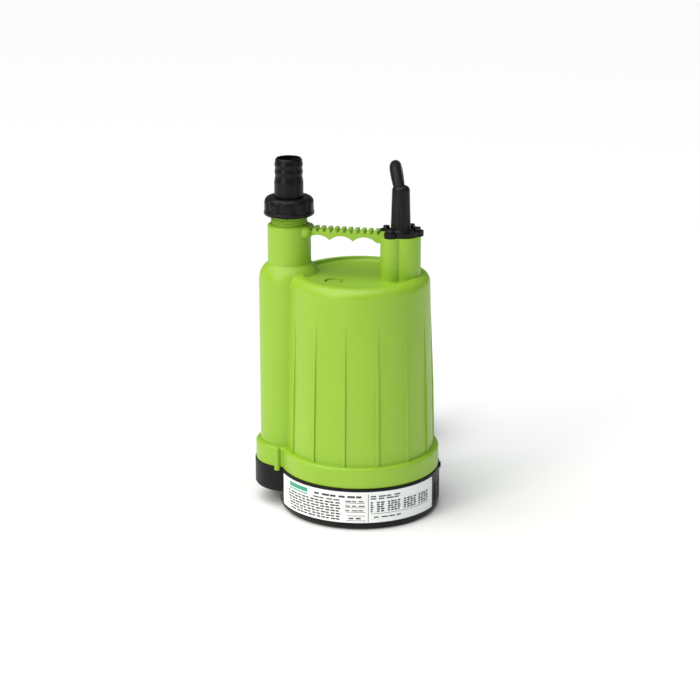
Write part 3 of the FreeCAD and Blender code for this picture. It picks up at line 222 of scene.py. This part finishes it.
def metal_finish(name, tint, rough, grain_mm, depth_mm, stretch=(1, 1, 1)):
    """Metal with fine marks; a stretch above 1 on Z packs them closer there, so they run round."""
    material, shader = new_material(name)
    marks = object_noise(material, grain_mm, detail=4.0, stretch=stretch)
    sheen = ramp(material, marks, [(0.3, grey(rough - 0.06)), (0.7, grey(rough + 0.08))])
    material.node_tree.links.new(sheen, shader.inputs["Roughness"])
    shader.inputs["Base Color"].default_value = colour(tint)
    shader.inputs["Metallic"].default_value = 1.0
    add_bump(material, shader, marks, depth_mm, 0.6, 0.2)
    return material


def plain_finish(name, dark, light, rough, cell_mm, depth_mm):
    """Non-metal inner finish with a light mottling."""
    material, shader = new_material(name)
    clouds = object_noise(material, cell_mm, detail=3.0)
    tint = ramp(material, clouds, [(0.3, colour(dark)), (0.7, colour(light))])
    material.node_tree.links.new(tint, shader.inputs["Base Color"])
    shader.inputs["Roughness"].default_value = rough
    add_bump(material, shader, clouds, depth_mm, 0.5, 0.2)
    return material


# rolled steel shows fine lines round the piece, the screws a plain bright skin
rolled_steel = metal_finish("rolled_stainless_steel", "#C8C8C6", 0.3, 0.6, 0.01, (1, 1, 12))
screw_steel = metal_finish("stainless_screw_steel", "#C9C9C8", 0.26, 0.4, 0.008)
# bearing steel is ground, so it is the glossiest metal here; the castings are the dullest
ground_steel = metal_finish("ground_bearing_steel", "#D2D2D2", 0.16, 0.3, 0.003, (1, 1, 20))
cast_aluminium = metal_finish("die_cast_aluminium", "#B9BABC", 0.46, 0.8, 0.03)
# stacked sheets show as rings round the core; black oxide keeps only a dark glint
lamination_steel = metal_finish("varnished_lamination_steel", "#77736E", 0.42, 0.5, 0.02, (1, 1, 30))
blackened_steel = metal_finish("blackened_screw_steel", "#3A3A3E", 0.34, 0.4, 0.008)
# the warm metals: the plated pins have a straw tint, the windings are red-brown under enamel
nickel_plate = metal_finish("nickel_plated_brass", "#D9D3C4", 0.2, 0.5, 0.004)
copper_wire = metal_finish("enamelled_copper_wire", "#B0672F", 0.32, 0.7, 0.05, (1, 1, 0.2))
# the non-metals: matt grey nylon, smooth pale ceramic against dark carbon, red-brown lead sleeves
filled_nylon = plain_finish("glass_filled_nylon_grey", "#2E2F31", "#3A3B3D", 0.5, 4.0, 0.02)
seal_ceramic = plain_finish("lapped_alumina", "#E2DED2", "#EDEAE2", 0.25, 6.0, 0.002)
seal_carbon = plain_finish("lapped_carbon", "#1C1C1D", "#262627", 0.35, 3.0, 0.004)
capacitor_case = plain_finish("capacitor_thermoplastic", "#DAD9D2", "#E6E5DF", 0.38, 10.0, 0.006)
lead_insulation = plain_finish("silicone_lead_insulation", "#6B2A14", "#7C3520", 0.45, 5.0, 0.01)

# %% [markdown]
# ## Label film and its inks
#
# The rating label is white polyester film with a satin face. Its print lies on it as a thin coat of
# ink, which is a little glossier than the film.

# %% Film and inks
label_film = plain_finish("satin_polyester_film_white", "#EDF0F2", "#F4F6F7", 0.32, 20.0, 0.004)
black_ink = plain_finish("screen_ink_black", "#26292B", "#303336", 0.28, 3.0, 0.002)
green_ink = plain_finish("screen_ink_green", "#2E9A80", "#35A58A", 0.28, 3.0, 0.002)

# %% [markdown]
# ## Woven strap
#
# The coil's tie is a hook-and-loop strap. Its weave is two wave textures at right angles. Their
# threads are a millimetre apart, which is coarse for such a strap but still shows from a metre away.

# %% Strap fabric
WAVE_SCALE_MM = 3.2    # a wave texture of this scale repeats about every millimetre
strap_fabric, shader = new_material("woven_nylon_strap")
where = add_node(strap_fabric, "ShaderNodeTexCoord").outputs["Object"]
threads = []
for direction_name in ("X", "Z"):
    sockets = {"Vector": where, "Scale": 1.0 / (WAVE_SCALE_MM * MM)}
    wave = add_node(strap_fabric, "ShaderNodeTexWave", sockets, bands_direction=direction_name)
    threads.append(wave.outputs["Fac"])
weave = add_node(strap_fabric, "ShaderNodeMath", operation="MULTIPLY")
for index, thread in enumerate(threads):
    strap_fabric.node_tree.links.new(thread, weave.inputs[index])
tint = ramp(strap_fabric, weave.outputs[0], [(0.0, colour("#121214")), (1.0, colour("#2C2C30"))])
strap_fabric.node_tree.links.new(tint, shader.inputs["Base Color"])
shader.inputs["Roughness"].default_value = 0.85
shader.inputs["Sheen Weight"].default_value = 0.3
add_bump(strap_fabric, shader, weave.outputs[0], 0.15, 0.8)

# %% [markdown]
# ## Finishes on the working pieces
#
# A working piece whose shape is right stays as it is and only gets its finish. The table says which
# finish each one has. Its mesh is not touched, so smooth shading that came with it stays too.

# %% Give each working piece its finish
FINISHES = {
    green_plastic: ["outer_casing", "test_plug"],
    black_base: ["strainer_base"],
    black_nylon: ["gland_plate", "thermal_protector", "union_nut", "hose_tail"],
    soft_rubber: ["cable_grommet", "hose_gasket", "casing_o_ring", "oil_seal", "cable_boot", "mains_plug"],
    jacket_rubber: ["cable_lead_in", "power_cable", "cable_coil", "cable_tail"],
    filled_nylon: ["suction_cover", "volute_casing", "impeller"],
    screw_steel: ["base_screws", "cover_screws", "impeller_nut"],
    blackened_steel: ["gland_screws"],
    rolled_steel: ["motor_shell", "motor_shaft", "seal_spring", "seal_collar"],
    ground_steel: ["lower_bearing_outer_race", "lower_bearing_inner_race", "lower_bearing_balls",
                   "upper_bearing_outer_race", "upper_bearing_inner_race", "upper_bearing_balls"],
    cast_aluminium: ["oil_casing", "bearing_housing", "upper_bracket", "rotor_end_rings"],
    lamination_steel: ["stator_core", "rotor_core"],
    copper_wire: ["stator_windings"],
    seal_ceramic: ["seal_seat"],
    seal_carbon: ["seal_ring"],
    capacitor_case: ["run_capacitor"],
    label_film: ["rating_label"],
    lead_insulation: ["motor_leads"],
    nickel_plate: ["plug_pins"],
    strap_fabric: ["coil_tie"],
}
for finish, names in FINISHES.items():
    for name in names:
        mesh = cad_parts[name].data
        mesh.materials.clear()
        mesh.materials.append(finish)
unfinished = set(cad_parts) - {name for names in FINISHES.values() for name in names}
print("working pieces without a finish:", sorted(unfinished))

# %% [markdown]
# ## The power cable
#
# A real pump has a fixed length of rubber cable, here 4.9 m of 10.4 mm. It leaves the boot upwards,
# bends over in a tight crest, falls behind the pump and is wound into a tied coil on the floor, with
# the plug lying on top. It could be a mesh swept along a path, but a curve keeps one centre line that
# is easy to change. It is one NURBS curve of order 3 with listed control points; the coil's turns
# are more points of the same curve, worked out by a loop. A bevel gives the curve its thickness.

# %% The cable's route
CABLE_R = 5.2 * MM
CABLE_START = (36.6, 0.0, 299.8)
CABLE_ROUTE = [
    (32.6, 4.0, 309.8), (28.8, 15.0, 317.8), (26.8, 29.0, 316.3), (26.4, 42.0, 303.8),
    (26.4, 52.0, 281.3), (27.0, 65.0, 246.0), (26.0, 77.0, 207.0), (27.2, 84.0, 164.0),
    (25.8, 88.5, 124.0), (26.4, 91.0, 88.0), (25.4, 95.0, 57.5), (24.4, 106.0, 34.0),
    (23.2, 123.5, 17.0), (22.0, 145.0, 8.3), (21.2, 166.5, 6.6),
]
TAIL_ROUTE = [
    (-111.5, 163.0, 39.0), (-110.6, 138.5, 41.5), (-97.0, 113.0, 42.5), (-71.5, 98.8, 43.0),
    (-42.5, 98.0, 45.0), (-16.5, 112.0, 49.5), (-2.8, 137.0, 54.0), (-1.2, 160.0, 55.8),
]
COIL_CENTRE = (-48.0, 166.0)
COIL_MEAN_R = 54.0
COIL_PITCH = 10.4
COIL_COLUMNS = 4
COIL_LAYERS = 3
TOP_COLUMN = 2          # where the last, unfinished turn lies on the coil
LAST_ARC = 160          # degrees of that turn
COIL_FLOOR_Z = 6.4
POINTS_PER_TURN = 16
CROSSING_POINTS = 4


def coil_place(turn):
    """Radius and height of a turn: layer by layer, inwards then outwards, and one turn on top."""
    layer, along = divmod(turn, COIL_COLUMNS)
    inwards = layer % 2 == 0
    column = COIL_COLUMNS - 1 - along if inwards else along
    if layer == COIL_LAYERS:
        column = TOP_COLUMN
    radius = COIL_MEAN_R + (column - (COIL_COLUMNS - 1) / 2) * COIL_PITCH
    return radius, COIL_FLOOR_Z + layer * COIL_PITCH


def coil_points(last_angle):
    """Control points of the coil from angle 0 to last_angle, in degrees.

    A curve of order 3 passes inside its control points, so they lie a little outside the circle.
    Each turn steps over to the next one in its last few points.
    """
    step = 360.0 / POINTS_PER_TURN
    outward = 1.0 / (0.75 + 0.25 * math.cos(math.radians(step)))
    points = []
    for index in range(1, int(last_angle / step) + 1):
        turn, within = divmod(index, POINTS_PER_TURN)
        radius, height = coil_place(turn)
        next_radius, next_height = coil_place(turn + 1)
        share = max(0.0, within - (POINTS_PER_TURN - CROSSING_POINTS)) / CROSSING_POINTS
        share = share * share * (3 - 2 * share)
        if turn < COIL_LAYERS * COIL_COLUMNS:
            radius += (next_radius - radius) * share
            height += (next_height - height) * share
        angle = math.radians(index * step)
        points.append((COIL_CENTRE[0] + radius * outward * math.cos(angle),
                       COIL_CENTRE[1] + radius * outward * math.sin(angle), height))
    return points


whole_turns = 360 * COIL_LAYERS * COIL_COLUMNS
cable_points = [CABLE_START, *CABLE_ROUTE, *coil_points(whole_turns + LAST_ARC), *TAIL_ROUTE]
print("cable points:", len(cable_points))

# %% Build the cable curve
cable_curve = bpy.data.curves.new("power_cable_jacket", "CURVE")
cable_curve.dimensions = "3D"
spline = cable_curve.splines.new("NURBS")
spline.points.add(len(cable_points) - 1)
for point, place in zip(spline.points, cable_points):
    point.co = (place[0] * MM, place[1] * MM, place[2] * MM, 1.0)
spline.order_u = 3
spline.use_endpoint_u = True
spline.resolution_u = 6
cable_curve.bevel_depth = CABLE_R
cable_curve.bevel_resolution = 5
cable_curve.use_fill_caps = True
cable_curve.materials.append(jacket_rubber)
cable = bpy.data.objects.new("power_cable_jacket", cable_curve)
bpy.context.collection.objects.link(cable)
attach(cable, "casing")
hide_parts("power_cable", "cable_coil", "cable_tail")

# %% [markdown]
# ## The label and its print
#
# The print is rows of small bars in place of words, a heading, a coloured field and a table, which
# is what small type looks like from a metre away. It could be a texture, but thin coats of ink keep
# their sharp edges in every view. Each bar is a grid primitive on a flat sheet, where X runs along
# the label and Z up it, with enough cuts to follow the curve. The whole sheet is then rolled on to
# the base's radius, and a Solidify modifier gives it the thickness of film or ink.

# %% The flat sheet and how it is rolled on
FILM_LOW, FILM_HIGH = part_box("rating_label")
FILM_FOOT = FILM_LOW[2]
FILM_H = FILM_HIGH[2] - FILM_LOW[2]
FILM_R = 74.62 * MM
FILM_T = 0.2
INK_R = 74.69 * MM
INK_T = 0.1
FILM_START = math.radians(-147.6)
FILM_LENGTH = 173.0
BAR_STEP = 4.0          # longest straight stretch of a bar, so that it follows the curve
print("film from z", round(FILM_FOOT, 4), "height", round(FILM_H, 4))


def open_sheet(name):
    """Start an empty mesh in edit mode."""
    bpy.ops.object.select_all(action="DESELECT")
    bpy.ops.mesh.primitive_grid_add(x_subdivisions=1, y_subdivisions=1, size=1.0)
    sheet = bpy.context.object
    sheet.name = name
    bpy.ops.object.mode_set(mode="EDIT")
    bpy.ops.mesh.delete(type="VERT")
    return sheet


def bar(left, foot, width, height):
    """One upright bar, in millimetres from the film's lower left corner."""
    middle = ((left + width / 2) * MM, 0.0, (foot + height / 2) * MM)
    bpy.ops.mesh.select_all(action="DESELECT")
    bpy.ops.mesh.primitive_grid_add(
        x_subdivisions=max(1, math.ceil(width / BAR_STEP)), y_subdivisions=1, size=1.0,
        location=middle, rotation=(math.pi / 2, 0.0, 0.0),
    )
    bpy.ops.transform.resize(value=(width * MM, 1.0, height * MM), center_override=middle)


def word_row(left, right, foot, height, words):
    """A row of bars of uneven length with gaps, in place of words."""
    step = (right - left) / words
    for index in range(words):
        bar(left + index * step, foot, step * (0.74 + 0.16 * math.sin(2.4 * index + foot)), height)


def roll_on(sheet, radius, thickness, material):
    """Roll the sheet on to the base, thicken it inward and give it its material."""
    bpy.ops.object.mode_set(mode="OBJECT")
    for vertex in sheet.data.vertices:
        angle = FILM_START + vertex.co.x / FILM_R
        vertex.co = (radius * math.cos(angle), radius * math.sin(angle), FILM_FOOT + vertex.co.z)
    skin = sheet.modifiers.new("skin", "SOLIDIFY")
    skin.thickness = thickness * MM
    skin.offset = -1.0
    bpy.ops.object.modifier_apply(modifier=skin.name)
    sheet.data.materials.append(material)
    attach(sheet, "casing")
    print(sheet.name, "faces:", len(sheet.data.polygons))


# %% The film
film = open_sheet("label_film")
bar(0.0, 0.0, FILM_LENGTH, FILM_H / MM)
roll_on(film, FILM_R, FILM_T, label_film)
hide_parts("rating_label")

# %% Where the print goes, in millimetres from the film's lower left corner
TEXT_ROWS = [           # left, right, foot, bar height, words
    (47.5, 96.0, 24.0, 1.9, 6),
    (46.0, 74.0, 20.8, 1.2, 4),
    (81.0, 94.0, 3.6, 1.4, 2),
    (101.0, 131.0, 24.6, 1.2, 4),
    (101.0, 131.0, 22.4, 1.2, 4),
    (104.0, 133.0, 4.6, 1.2, 4),
]
RULES = [               # left, foot, width, height
    (79.0, 2.0, 17.0, 0.4),
    (79.0, 6.6, 17.0, 0.4),
    (98.6, 1.0, 0.5, 26.5),
    (101.0, 8.4, 66.0, 0.35),
]
FILLED_LINES = (19.0, 14.6, 10.2)
TABLE_COLUMNS = [(101.0, 104.0), (106.8, 114.3), (117.1, 130.1), (133.3, 148.3), (150.8, 165.3)]
TABLE_TOP = 18.6
TABLE_PITCH = 2.1
TABLE_ROWS = 5
TABLE_WORD = 3.6
TYPE_TOP = 17.8
TYPE_PITCH = 2.6
TYPE_LINES = 7
TYPE_INDENT = 0.8
TYPE_H = 1.35
FIELD_BARS = [(14.5, 23.4, 25.0, 3.9), (14.5, 21.2, 25.0, 1.1)]

# %% Heading, lines of small type and the table
print_sheet = open_sheet("label_print")
for text_row in TEXT_ROWS:
    word_row(*text_row)
for rule in RULES:
    bar(*rule)
for line in range(TYPE_LINES):
    word_row(12.0 + TYPE_INDENT * line, 74.0, TYPE_TOP - TYPE_PITCH * line, TYPE_H, 12)
for foot in FILLED_LINES:
    bar(78.0, foot, 18.0, 0.4)
    word_row(78.0, 96.0, foot + 1.2, 1.0, 3)
for left, right in TABLE_COLUMNS:
    words = max(1, round((right - left) / TABLE_WORD))
    for row in range(TABLE_ROWS):
        word_row(left, right, TABLE_TOP - TABLE_PITCH * row, TYPE_H, words)
roll_on(print_sheet, INK_R, INK_T, black_ink)

# %% The coloured field beside the heading
field = open_sheet("label_field")
for field_bar in FIELD_BARS:
    bar(*field_bar)
roll_on(field, INK_R, INK_T, green_ink)

# %% [markdown]
# ## Floor and light
#
# A pale, plain floor that runs on behind the pump, and soft light. An overcast sky, which is a sun
# lamp with a wide angle, lights floor and pump alike from above and a little to the left front. A
# panel at the left front models the body, a weak one at the right lifts that edge, and a pale
# surround fills the shade.

# %% Floor
FLOOR_SIZE = 12.0
bpy.ops.object.select_all(action="DESELECT")
bpy.ops.mesh.primitive_plane_add(size=FLOOR_SIZE, location=(0, 0, 0))
floor = bpy.context.object
floor.name = "studio_floor"
floor_paint, shader = new_material("studio_paper_white")
shader.inputs["Base Color"].default_value = colour("#FAFAFA")
shader.inputs["Roughness"].default_value = 0.8
floor.data.materials.append(floor_paint)

# %% Lights


def soft_panel(name, place, size, watts, aim, tint):
    """Rectangular area light that faces a point."""
    data = bpy.data.lights.new(name, "AREA")
    data.shape = "RECTANGLE"
    data.size, data.size_y = size
    data.energy = watts
    data.color = tint
    lamp = bpy.data.objects.new(name, data)
    lamp.location = place
    lamp.rotation_euler = (Vector(place) - Vector(aim)).to_track_quat("Z", "Y").to_euler()
    bpy.context.collection.objects.link(lamp)


WARM = (1.0, 0.92, 0.78)
COOL = (0.9, 1.0, 0.95)
SKY_DIRECTION = Vector((-0.3, -0.25, 1.0))
soft_panel("key_panel", (-1.1, -1.7, 1.0), (0.7, 1.4), 17, (0, 0, 0.16), WARM)
soft_panel("edge_panel", (1.6, -0.5, 0.7), (0.4, 1.2), 2, (0, 0, 0.15), COOL)
sky_data = bpy.data.lights.new("overcast_light", "SUN")
sky_data.energy = 2.95
sky_data.angle = math.radians(75)
sky = bpy.data.objects.new("overcast_light", sky_data)
sky.rotation_euler = SKY_DIRECTION.to_track_quat("Z", "Y").to_euler()
bpy.context.collection.objects.link(sky)
world = bpy.data.worlds.new("soft_surround")
world.use_nodes = True
background = world.node_tree.nodes["Background"]
background.inputs["Color"].default_value = (0.95, 0.99, 1.0, 1.0)
background.inputs["Strength"].default_value = 0.17
bpy.context.scene.world = world
